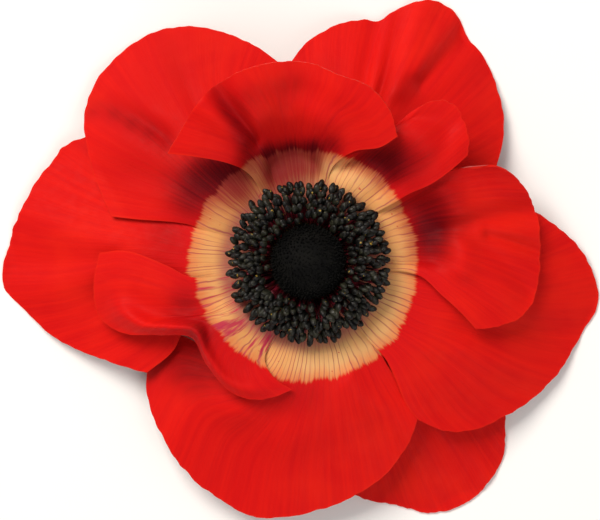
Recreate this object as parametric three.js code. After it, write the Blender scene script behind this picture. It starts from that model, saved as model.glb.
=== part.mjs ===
import * as THREE from 'three';

// One anemone flower head as picked, lying on its back with its face up.
// Millimetres, +Z up, the table at z = 0. Azimuths are degrees about the flower's own axis.

// ---------- driving dimensions ----------
const AXIS_X = 1.2;
const AXIS_Y = -0.4;
const SHEET = 0.45;
const SHEET_RIM = 0.36;
const ACROSS = 18;
const ALONG = 14;
const INSERTION_RADIUS = 3.9;
const RESTING_HEIGHT = 0.2;

const STEM_RADIUS = 1.75;
const STEM_CUT_HEIGHT = 0.7;
const NECK_RADIUS = 3.4;
const DISC_RADIUS = 4.9;
const DISC_UNDERSIDE = 12.25;
const DISC_TOP = 12.95;

const HEAD_RADIUS = 5.5;
const HEAD_FOOT = 13.3;
const HEAD_TOP = 20.3;

const STAMENS = 40;
const FILAMENT_ROOT_RADIUS = 5.25;
const FILAMENT_ROOT_HEIGHT = 12.65;
const FILAMENT_THICKNESS = 0.34;
const ANTHER_LENGTH = 2.4;
const ANTHER_WIDTH = 1.3;

const RED = 0xe01a14;
const BLACK = 0x120d12;
const GREEN = 0x6f8a3a;

// ---------- small maths ----------
const rad = THREE.MathUtils.degToRad;
const mix = (a, b, t) => a + (b - a) * t;

// A point given as azimuth, radius and height about the flower's axis.
function station([azimuth, radius, height]) {
  const x = AXIS_X + radius * Math.cos(rad(azimuth));
  const y = AXIS_Y + radius * Math.sin(rad(azimuth));
  return new THREE.Vector3(x, y, height);
}

// A smooth line through stations, read back evenly along its length.
function margin(stations) {
  const curve = new THREE.CatmullRomCurve3(stations.map(station), false, 'centripetal');
  curve.arcLengthDivisions = 240;
  return (t) => curve.getPointAt(THREE.MathUtils.clamp(t, 0, 1));
}

// How far a place on a tepal lies from a crease drawn across it, in units of the crease's width.
function creaseAt(u, v, crease) {
  const [u0, v0, u1, v1] = crease.line;
  const du = u1 - u0;
  const dv = v1 - v0;
  const along = THREE.MathUtils.clamp(((u - u0) * du + (v - v0) * dv) / (du * du + dv * dv), 0, 1);
  const away = Math.hypot(u - u0 - along * du, v - v0 - along * dv);
  return crease.rise * Math.exp(-((away / crease.width) ** 2));
}

// ---------- tepals ----------
// foot: azimuth of the two ends of the insertion and its height.
// left, rim, right: stations round the free edge, going from the foot up the left margin,
// along the rim, and (right) from the foot up the right margin to the end of the rim.
// belly: how much the middle stands above the edges. creases: ridges and valleys, u from the
// left margin to the right one, v from the foot to the rim.
const TEPALS = {
  tepal_outer_upper_left: {
    foot: [160.2, 123, 10.5],
    left: [[160.9, 12, 10.5], [161.4, 16, 10.5], [163, 20, 10.2], [166, 26, 9]],
    rim: [[167, 29.8, 7.6], [160, 33.2, 6], [153, 36.8, 4.5], [146, 40.2, 3], [138, 41.8, 1.2],
      [128, 41.9, 0.4], [119, 40.4, 0.8], [111, 37, 1.8], [103.5, 33.2, 3.6], [98, 29.8, 5]],
    right: [[122.6, 12, 10.5], [121, 16, 10.2], [115, 20, 9.6], [107, 25, 7.8]],
    belly: 3,
    creases: [
      { line: [0.34, 1, 0.45, 0.58], width: 0.045, rise: -0.9 },
      { line: [0.43, 1, 0.52, 0.6], width: 0.06, rise: 0.5 },
      { line: [0.64, 1, 0.68, 0.58], width: 0.05, rise: -0.5 },
      { line: [0.12, 0.9, 0.28, 0.5], width: 0.08, rise: -0.5 },
    ],
  },
  tepal_outer_left: {
    foot: [190.2, 163.8, 10.5],
    left: [[190, 12, 10.5], [191, 15.5, 10], [202, 19, 9], [213, 23.5, 7.7]],
    rim: [[214.5, 29, 6], [209, 31.8, 4.8], [203, 35.4, 3], [197, 39.5, 1.4], [190, 43, 0.3],
      [185, 45.7, 0], [178, 45.4, 0.1], [170, 43.8, 0.6], [162, 42.2, 1.2], [154, 40.2, 2],
      [148, 37, 2.8]],
    right: [[163.2, 12, 10.4], [162.6, 16, 10], [158, 20, 8.6], [151.5, 29, 4.9]],
    belly: 1.6,
    creases: [
      { line: [0.55, 1, 0.55, 0.55], width: 0.05, rise: -0.4 },
      { line: [0.68, 1, 0.64, 0.6], width: 0.05, rise: 0.4 },
      { line: [0.3, 1, 0.36, 0.6], width: 0.08, rise: -0.5 },
    ],
  },
  tepal_outer_bottom: {
    foot: [308, 244.4, 10.4],
    left: [[308.2, 12, 10.5], [308, 16.5, 10.2], [307.2, 20, 9.6], [306.5, 24, 8.6]],
    rim: [[305, 28.2, 7.6], [299, 30.6, 7], [291, 33.2, 6.4], [281, 35.6, 5.8], [272, 37, 5.2],
      [262, 38.7, 4.6], [255, 38.6, 4.6], [247, 37.4, 4.8], [239, 36, 4.8], [230, 33.8, 4.4],
      [221, 31.6, 3.4], [213.6, 28.8, 2.8]],
    right: [[244.2, 12, 10.4], [240, 15.5, 10], [224, 19, 8.2], [209, 22.5, 5.6]],
    belly: 1.2,
    creases: [
      { line: [0.02, 1, 0.2, 0.45], width: 0.06, rise: 0.9 },
      { line: [0.62, 1, 0.58, 0.5], width: 0.1, rise: -0.6 },
      { line: [0.8, 1, 0.7, 0.6], width: 0.07, rise: 0.5 },
    ],
  },
  tepal_outer_lower_right: {
    foot: [326, 280, 9],
    left: [[326, 12, 8.9], [326, 20, 7.4], [325, 30, 3.8]],
    rim: [[322, 37.6, 1.6], [316, 41, 0.5], [311, 42.6, 0], [304, 43.4, 0.1], [297, 42.4, 0],
      [290, 39, 0.4], [283, 36.4, 0.8], [276, 33.4, 1.4]],
    right: [[279, 12, 8.9], [277, 18, 7.2], [276, 26, 4]],
    belly: 0.6,
    creases: [
      { line: [0.45, 1, 0.45, 0.6], width: 0.08, rise: -0.5 },
      { line: [0.3, 1, 0.36, 0.7], width: 0.06, rise: 0.5 },
    ],
  },
  tepal_outer_right: {
    foot: [355.6, 309.6, 10.5],
    left: [[355.4, 12, 10.4], [356, 15.5, 9.8], [364, 20, 8.7], [369, 28, 6.6]],
    rim: [[374, 34, 5], [368, 37.6, 3.4], [363, 40.8, 1.8], [357, 43, 0.7], [351, 44.1, 0],
      [345, 42.4, 0.4], [337, 41.2, 1.2], [329, 39.4, 2.4], [322, 37.4, 4], [314, 34.8, 5.4],
      [309, 32.2, 7.2], [305, 28.6, 8.7]],
    right: [[309.6, 12, 10.6], [309.4, 17, 10.7], [307, 21, 10.3], [304.5, 25.5, 9.3]],
    belly: 2.2,
    creases: [
      { line: [0.42, 1, 0.5, 0.55], width: 0.07, rise: -0.5 },
      { line: [0.58, 1, 0.62, 0.6], width: 0.06, rise: 0.4 },
      { line: [0.76, 1, 0.74, 0.6], width: 0.07, rise: -0.5 },
    ],
  },
  tepal_outer_upper_right: {
    foot: [87, 37, 8.9],
    left: [[88, 12, 8.9], [91, 19, 8.6], [94.5, 25, 7]],
    rim: [[95.5, 29.4, 5.4], [91, 32.4, 4], [84, 35.4, 2.8], [78, 37, 1.9], [73.5, 37.8, 0.8],
      [71, 39.8, 1.6], [65, 43.3, 0.6], [60, 43.6, 0], [55, 41.8, 0.3], [48, 40.2, 0.4],
      [41, 38, 0.9], [34, 35.4, 2], [27, 31.6, 4.2]],
    right: [[34, 12, 9.4], [31, 19, 8.8], [28, 26, 7]],
    belly: 2.4,
    creases: [
      { line: [0.37, 1.02, 0.42, 0.5], width: 0.035, rise: -1.3 },
      { line: [0.45, 1, 0.48, 0.6], width: 0.05, rise: 0.9 },
      { line: [0.6, 0.96, 0.56, 0.68], width: 0.035, rise: -0.9 },
      { line: [0.54, 1, 0.52, 0.7], width: 0.03, rise: 0.7 },
      { line: [0.8, 1, 0.7, 0.6], width: 0.06, rise: 0.6 },
    ],
  },
  tepal_inner_top: {
    foot: [121, 79.4, 10.8],
    left: [[121, 11, 10.9], [122.4, 15.5, 12.6], [129, 18.5, 15.8], [137, 22.4, 17]],
    rim: [[142.5, 25.8, 17], [137, 26.2, 17.8], [127, 27.6, 18.8], [118, 28.8, 19.6],
      [109, 29.2, 19.6], [99, 29.2, 19.2], [90, 28.8, 19.2], [81, 27.4, 19.6], [71, 26.8, 19.6],
      [62, 25, 19], [54.5, 22.4, 17.8]],
    right: [[79, 11, 10.9], [77, 14.5, 12.2], [68, 17.4, 15.4], [58, 19.6, 17]],
    belly: 0,
    creases: [
      { line: [0.22, 0.33, 0.78, 0.33], width: 0.09, rise: -2.2 },
      { line: [0.25, 0.55, 0.75, 0.55], width: 0.14, rise: 1.5 },
      { line: [0.28, 1, 0.21, 0.52], width: 0.045, rise: -1.7 },
      { line: [0.2, 0.97, 0.14, 0.6], width: 0.05, rise: 0.9 },
      { line: [0.57, 1, 0.5, 0.62], width: 0.08, rise: -0.6 },
    ],
  },
  tepal_inner_upper_right: {
    foot: [77.2, 41.2, 10.8],
    left: [[77, 11, 11], [75, 15, 11.5], [66, 18.6, 12], [62, 21, 12.6]],
    rim: [[60, 22.8, 13.4], [56.6, 24.8, 14.4], [54.6, 27.4, 15.2], [52, 29.8, 15.6], [47.5, 31.2, 15.4],
      [42, 30.6, 15], [37.5, 29.4, 14.8], [34, 28, 14.4]],
    right: [[40.2, 8, 10.9], [38.6, 12, 11.4], [36, 16, 12.6], [32.5, 21, 15], [33, 25, 15]],
    belly: 1,
    creases: [
      { line: [0.2, 0.52, 0.8, 0.48], width: 0.1, rise: -1.8 },
      { line: [0.2, 0.74, 0.7, 0.74], width: 0.08, rise: 0.7 },
      { line: [0.3, 0.84, 0.7, 0.9], width: 0.07, rise: -0.5 },
    ],
  },
  tepal_inner_right: {
    foot: [38.4, -2.6, 10.8],
    left: [[38.2, 8, 10.8], [37.2, 12, 11], [37, 16, 11.8], [36, 20.5, 13.4], [33, 24.6, 13.6]],
    rim: [[29, 28.4, 13.4], [27, 30.8, 12.8], [21.5, 33.2, 10.6], [11.5, 34.6, 7.6],
      [2, 34.4, 7.2], [353, 34.1, 7.6], [348, 33.4, 8], [344, 31.6, 8.6], [340.5, 29, 9.8],
      [338, 26.6, 10.6]],
    right: [[-2.8, 11, 10.8], [355, 16, 11], [347, 19.6, 11.4], [342, 23.2, 11.3]],
    belly: 2,
    creases: [
      { line: [0.15, 0.42, 0.75, 0.42], width: 0.1, rise: -1.5 },
      { line: [0.2, 0.6, 0.75, 0.6], width: 0.08, rise: 0.9 },
      { line: [0.35, 1, 0.48, 0.52], width: 0.06, rise: -1.1 },
      { line: [0.44, 1, 0.47, 0.72], width: 0.05, rise: 0.5 },
      { line: [0.53, 1, 0.5, 0.74], width: 0.03, rise: -0.8 },
      { line: [0.7, 0.96, 0.52, 0.62], width: 0.06, rise: -0.6 },
    ],
  },
  tepal_inner_lower_left: {
    foot: [243, 191.6, 10.8],
    left: [[242.8, 11, 10.9], [244, 15.5, 11.6], [253, 17.6, 12.2]],
    rim: [[263, 18.8, 12], [256, 20.3, 12.3], [248, 21.6, 12.5], [239, 22, 12.6],
      [225, 20.9, 12.8], [213, 20.2, 12.6], [206, 24.2, 11.4], [201, 29.2, 8.4], [195, 31.8, 6.8],
      [186, 31.9, 7.4], [177.5, 30.8, 8]],
    right: [[191.4, 11, 10.8], [189, 16.5, 11.4], [181, 21, 11.6], [176.5, 26.6, 10.4]],
    belly: 1,
    creases: [
      { line: [0.42, 0.86, 0.74, 0.84], width: 0.08, rise: 1.6 },
      { line: [0.12, 0.86, 0.42, 0.84], width: 0.1, rise: 0.8 },
      { line: [0.46, 0.66, 0.66, 0.62], width: 0.1, rise: -0.9 },
    ],
  },
};

// The tepal's middle surface: four edges blended across, then bellied and creased.
function tepalSurface(tepal) {
  const [azLeft, azRight, height] = tepal.foot;
  const footLeft = [azLeft, INSERTION_RADIUS, height];
  const footRight = [azRight, INSERTION_RADIUS, height];
  const rimLeft = tepal.rim[0];
  const rimRight = tepal.rim[tepal.rim.length - 1];
  const left = margin([footLeft, ...tepal.left, rimLeft]);
  const right = margin([footRight, ...tepal.right, rimRight]);
  const rim = margin(tepal.rim);
  const foot = (u) => station([mix(azLeft, azRight, u), INSERTION_RADIUS, height]);
  return (u, v) => {
    const p = new THREE.Vector3();
    p.addScaledVector(foot(u), 1 - v);
    p.addScaledVector(rim(u), v);
    p.addScaledVector(left(v), 1 - u);
    p.addScaledVector(right(v), u);
    p.addScaledVector(station(footLeft), -(1 - u) * (1 - v));
    p.addScaledVector(station(footRight), -u * (1 - v));
    p.addScaledVector(station(rimLeft), -(1 - u) * v);
    p.addScaledVector(station(rimRight), -u * v);
    const swell = Math.sin(Math.PI * u) ** 0.8 * Math.sin(Math.PI * v) ** 1.2;
    p.z += tepal.belly * swell;
    const calm = Math.min(1, v / 0.35) ** 2;
    for (const crease of tepal.creases) {
      p.z += calm * creaseAt(u, v, crease);
    }
    p.z = Math.max(p.z, RESTING_HEIGHT);
    return p;
  };
}

// Closed sheet: the middle surface copied to either side along its own normal, joined at the edge.
function tepalGeometry(tepal) {
  const surface = tepalSurface(tepal);
  const step = 1e-3;
  const top = [];
  const bottom = [];
  for (let j = 0; j <= ALONG; j += 1) {
    for (let i = 0; i <= ACROSS; i += 1) {
      const u = i / ACROSS;
      const v = j / ALONG;
      const u0 = Math.max(0, u - step);
      const u1 = Math.min(1, u + step);
      const v0 = Math.max(0, v - step);
      const v1 = Math.min(1, v + step);
      const across = surface(u1, v).sub(surface(u0, v));
      const along = surface(u, v1).sub(surface(u, v0));
      const normal = along.cross(across).normalize().negate();
      if (normal.z < 0) {
        normal.negate();
      }
      const half = mix(SHEET, SHEET_RIM, v) / 2;
      const middle = surface(u, v);
      top.push(middle.clone().addScaledVector(normal, half));
      bottom.push(middle.clone().addScaledVector(normal, -half));
    }
  }
  const points = [...top, ...bottom];
  const lower = top.length;
  const at = (i, j) => j * (ACROSS + 1) + i;
  const faces = [];
  const quad = (a, b, c, d) => faces.push(a, b, c, a, c, d);
  for (let j = 0; j < ALONG; j += 1) {
    for (let i = 0; i < ACROSS; i += 1) {
      quad(at(i, j), at(i, j + 1), at(i + 1, j + 1), at(i + 1, j));
      const a = lower + at(i, j);
      const b = lower + at(i + 1, j);
      const c = lower + at(i + 1, j + 1);
      const d = lower + at(i, j + 1);
      quad(a, b, c, d);
    }
  }
  for (let i = 0; i < ACROSS; i += 1) {
    quad(at(i, 0), at(i + 1, 0), lower + at(i + 1, 0), lower + at(i, 0));
    quad(at(i + 1, ALONG), at(i, ALONG), lower + at(i, ALONG), lower + at(i + 1, ALONG));
  }
  for (let j = 0; j < ALONG; j += 1) {
    quad(at(0, j + 1), at(0, j), lower + at(0, j), lower + at(0, j + 1));
    quad(at(ACROSS, j), at(ACROSS, j + 1), lower + at(ACROSS, j + 1), lower + at(ACROSS, j));
  }
  return closedGeometry(points, faces);
}

// Indexed faces to a geometry that faces outwards.
function closedGeometry(points, faces) {
  let volume = 0;
  for (let k = 0; k < faces.length; k += 3) {
    const a = points[faces[k]];
    const b = points[faces[k + 1]];
    const c = points[faces[k + 2]];
    volume += a.dot(b.clone().cross(c));
  }
  if (volume < 0) {
    for (let k = 0; k < faces.length; k += 3) {
      [faces[k + 1], faces[k + 2]] = [faces[k + 2], faces[k + 1]];
    }
  }
  const geometry = new THREE.BufferGeometry();
  const flat = points.flatMap((p) => [p.x, p.y, p.z]);
  geometry.setAttribute('position', new THREE.Float32BufferAttribute(flat, 3));
  geometry.setIndex(faces);
  geometry.computeVertexNormals();
  return geometry;
}

// ---------- turned pieces ----------
function turned(profile, segments) {
  const points = profile.map(([radius, height]) => new THREE.Vector2(radius, height));
  const geometry = new THREE.LatheGeometry(points, segments);
  geometry.rotateX(Math.PI / 2);
  geometry.translate(AXIS_X, AXIS_Y, 0);
  return geometry;
}

function stemGeometry() {
  return turned([
    [0, STEM_CUT_HEIGHT],
    [STEM_RADIUS, STEM_CUT_HEIGHT],
    [STEM_RADIUS * 0.97, 3.4],
    [STEM_RADIUS * 1.1, 6],
    [NECK_RADIUS * 0.86, 7.5],
    [NECK_RADIUS, 8.2],
    [NECK_RADIUS, DISC_UNDERSIDE - 0.2],
    [DISC_RADIUS, DISC_UNDERSIDE],
    [DISC_RADIUS, DISC_TOP],
    [0, DISC_TOP],
  ], 28);
}

function pistilHeadGeometry() {
  const rings = 8;
  const profile = [[0, HEAD_FOOT], [HEAD_RADIUS * 0.7, HEAD_FOOT]];
  for (let k = 0; k <= rings; k += 1) {
    const turn = mix(-0.42, 1, k / rings) * Math.PI / 2;
    const radius = k === rings ? 0 : HEAD_RADIUS * Math.cos(turn);
    const rise = Math.sin(turn) + Math.sin(0.42 * Math.PI / 2);
    const full = 1 + Math.sin(0.42 * Math.PI / 2);
    profile.push([radius, mix(HEAD_FOOT + 0.35, HEAD_TOP, rise / full)]);
  }
  return turned(profile, 26);
}

// ---------- stamens ----------
// One stamen: a thin filament that leans outwards and swells into a blunt anther.
function stamenGeometry(index) {
  const azimuth = index * 360 / STAMENS;
  const row = index % 3;
  const sway = 2.2 * Math.sin(index * 2.4);
  const reach = [7.4, 11.2, 9.4][row] + 0.45 * Math.sin(index * 1.7);
  const rise = [15.9, 13.9, 15.3][row] + 0.4 * Math.cos(index * 2.9);
  const lean = [0.55, 0.95, 0.8][row];
  const outward = (r, z, turn) => station([azimuth + turn, r, z]);
  const root = outward(FILAMENT_ROOT_RADIUS, FILAMENT_ROOT_HEIGHT, 0);
  const knee = outward(mix(FILAMENT_ROOT_RADIUS, reach, 0.55), mix(FILAMENT_ROOT_HEIGHT, rise, 0.72), sway * 0.5);
  const neck = outward(reach - ANTHER_LENGTH * lean * 0.5, rise, sway);
  const tip = outward(reach + ANTHER_LENGTH * lean * 0.5, rise + ANTHER_LENGTH * (1 - lean) * 0.6, sway);
  const thread = new THREE.CatmullRomCurve3([root, knee, neck, tip], false, 'centripetal');
  const widths = [
    [0, 0.5 * FILAMENT_THICKNESS], [0.3, 0.5 * FILAMENT_THICKNESS], [0.52, 0.5 * FILAMENT_THICKNESS],
    [0.58, 0.36 * ANTHER_WIDTH], [0.7, 0.5 * ANTHER_WIDTH], [0.88, 0.48 * ANTHER_WIDTH],
    [0.98, 0.28 * ANTHER_WIDTH],
  ];
  const sides = 6;
  const points = [];
  for (const [t, radius] of widths) {
    const centre = thread.getPointAt(t);
    const forward = thread.getTangentAt(t);
    const side = new THREE.Vector3(-Math.sin(rad(azimuth)), Math.cos(rad(azimuth)), 0);
    const up = side.clone().cross(forward).normalize();
    side.copy(forward).cross(up).normalize();
    for (let k = 0; k < sides; k += 1) {
      const turn = k / sides * 2 * Math.PI;
      const p = centre.clone().addScaledVector(side, radius * Math.cos(turn));
      points.push(p.addScaledVector(up, radius * 0.8 * Math.sin(turn)));
    }
  }
  const start = points.length;
  points.push(thread.getPointAt(0), thread.getPointAt(1));
  const faces = [];
  for (let j = 0; j < widths.length - 1; j += 1) {
    for (let k = 0; k < sides; k += 1) {
      const a = j * sides + k;
      const b = j * sides + (k + 1) % sides;
      faces.push(a, b, b + sides, a, b + sides, a + sides);
    }
  }
  const last = (widths.length - 1) * sides;
  for (let k = 0; k < sides; k += 1) {
    const next = (k + 1) % sides;
    faces.push(start, next, k);
    faces.push(start + 1, last + k, last + next);
  }
  return closedGeometry(points, faces);
}

// ---------- assembly ----------
const group = new THREE.Group();
group.name = 'anemone_flower';

function add(name, geometry, color, roughness) {
  const material = new THREE.MeshStandardMaterial({ color, roughness, metalness: 0 });
  const mesh = new THREE.Mesh(geometry, material);
  mesh.name = name;
  group.add(mesh);
}

for (const [name, tepal] of Object.entries(TEPALS)) {
  add(name, tepalGeometry(tepal), RED, 0.6);
}
add('stem_and_receptacle', stemGeometry(), GREEN, 0.7);
add('pistil_head', pistilHeadGeometry(), BLACK, 0.85);
for (let index = 0; index < STAMENS; index += 1) {
  add(`stamen_${String(index + 1).padStart(2, '0')}`, stamenGeometry(index), BLACK, 0.6);
}

export default group;
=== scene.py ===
import math
import random

import bmesh
import bpy
import numpy as np
from mathutils import Matrix, Vector, noise


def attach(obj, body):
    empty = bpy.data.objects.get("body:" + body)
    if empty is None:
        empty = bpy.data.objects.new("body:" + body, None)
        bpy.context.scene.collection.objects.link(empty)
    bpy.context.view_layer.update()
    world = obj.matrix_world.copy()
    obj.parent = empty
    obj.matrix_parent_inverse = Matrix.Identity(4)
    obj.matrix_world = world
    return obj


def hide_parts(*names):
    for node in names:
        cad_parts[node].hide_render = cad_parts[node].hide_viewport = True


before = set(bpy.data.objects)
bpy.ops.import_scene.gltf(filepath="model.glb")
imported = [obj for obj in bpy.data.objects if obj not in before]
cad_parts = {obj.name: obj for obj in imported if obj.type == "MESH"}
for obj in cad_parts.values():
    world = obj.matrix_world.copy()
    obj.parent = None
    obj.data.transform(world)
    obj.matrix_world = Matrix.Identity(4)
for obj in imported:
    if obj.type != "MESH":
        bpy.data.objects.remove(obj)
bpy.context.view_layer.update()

MM = 0.001

# ---------- driving dimensions, millimetres ----------
# the flower's axis stands a little off the middle of its outline
AXIS_X = 1.2
AXIS_Y = -0.4

# tepals: the ring they grow from, the lowest their middle surface goes, how far a foot laps the
# next one's, and the grid each is read on, across and along
INSERTION_RADIUS = 3.9
RESTING_HEIGHT = 0.2
TEPAL_THICKNESS = 0.34
FOOT_LAP = 0.45
ACROSS = 112
ALONG = 88

# cream ring round the crown, centred a little off the axis
CREAM_RADIUS = 16.8
CREAM_OFF_X = -0.7
CREAM_OFF_Y = -0.5

# painted shade: colours of the red and the cream where the painted shade is deepest, and how much
# painted shade a 1 mm fold's valley gets
SHADE_RED = (0.095, 0.0012, 0.0042)
SHADE_CREAM = (0.26, 0.021, 0.019)
VALLEY_SHADE = 0.13

# crown of stamens: places in the spiral, its radii, its height at the inside and the rim, and the
# spiral's step in degrees and, for the pistil head, in radians
STAMENS = 430
CROWN_INNER = 6.2
CROWN_OUTER = 11.5
CROWN_TOP = 17.0
CROWN_RIM = 13.6
GOLDEN_ANGLE = 137.508
GOLDEN_TURN = 2.399963
FILAMENT_ROOT_RADIUS = 5.2
FILAMENT_ROOT_HEIGHT = 12.7
FILAMENT_GIRTH = 0.17
FILAMENT_TIP_GIRTH = 0.13
FILAMENT_SIDES = 4
FILAMENT_STEPS = 4
ANTHER_RADIUS = 0.55
ANTHER_STRETCH = 1.5

# pistil head and the small blunt styles that cover it
HEAD_RADIUS = 5.5
HEAD_FOOT = 13.3
HEAD_TOP = 20.3
STYLES = 900
STYLE_SIDES = 5

# stem: radius and height of each ring from the cut end up to the top of the receptacle
STEM_CUT_RADIUS = 1.62
STEM_CUT_HEIGHT = 0.75
STEM_PROFILE = [(1.72, 0.95), (1.74, 1.6), (1.66, 3.2), (1.70, 4.8), (1.95, 6.2), (2.6, 7.3),
                (3.15, 7.9), (3.38, 8.4), (3.40, 12.0), (4.7, 12.3), (4.88, 12.6), (4.7, 12.9),
                (2.4, 12.95)]
STEM_RIDGES = 9
STEM_RIDGE_DEPTH = 0.022
RIDGES_END = 7

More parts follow.
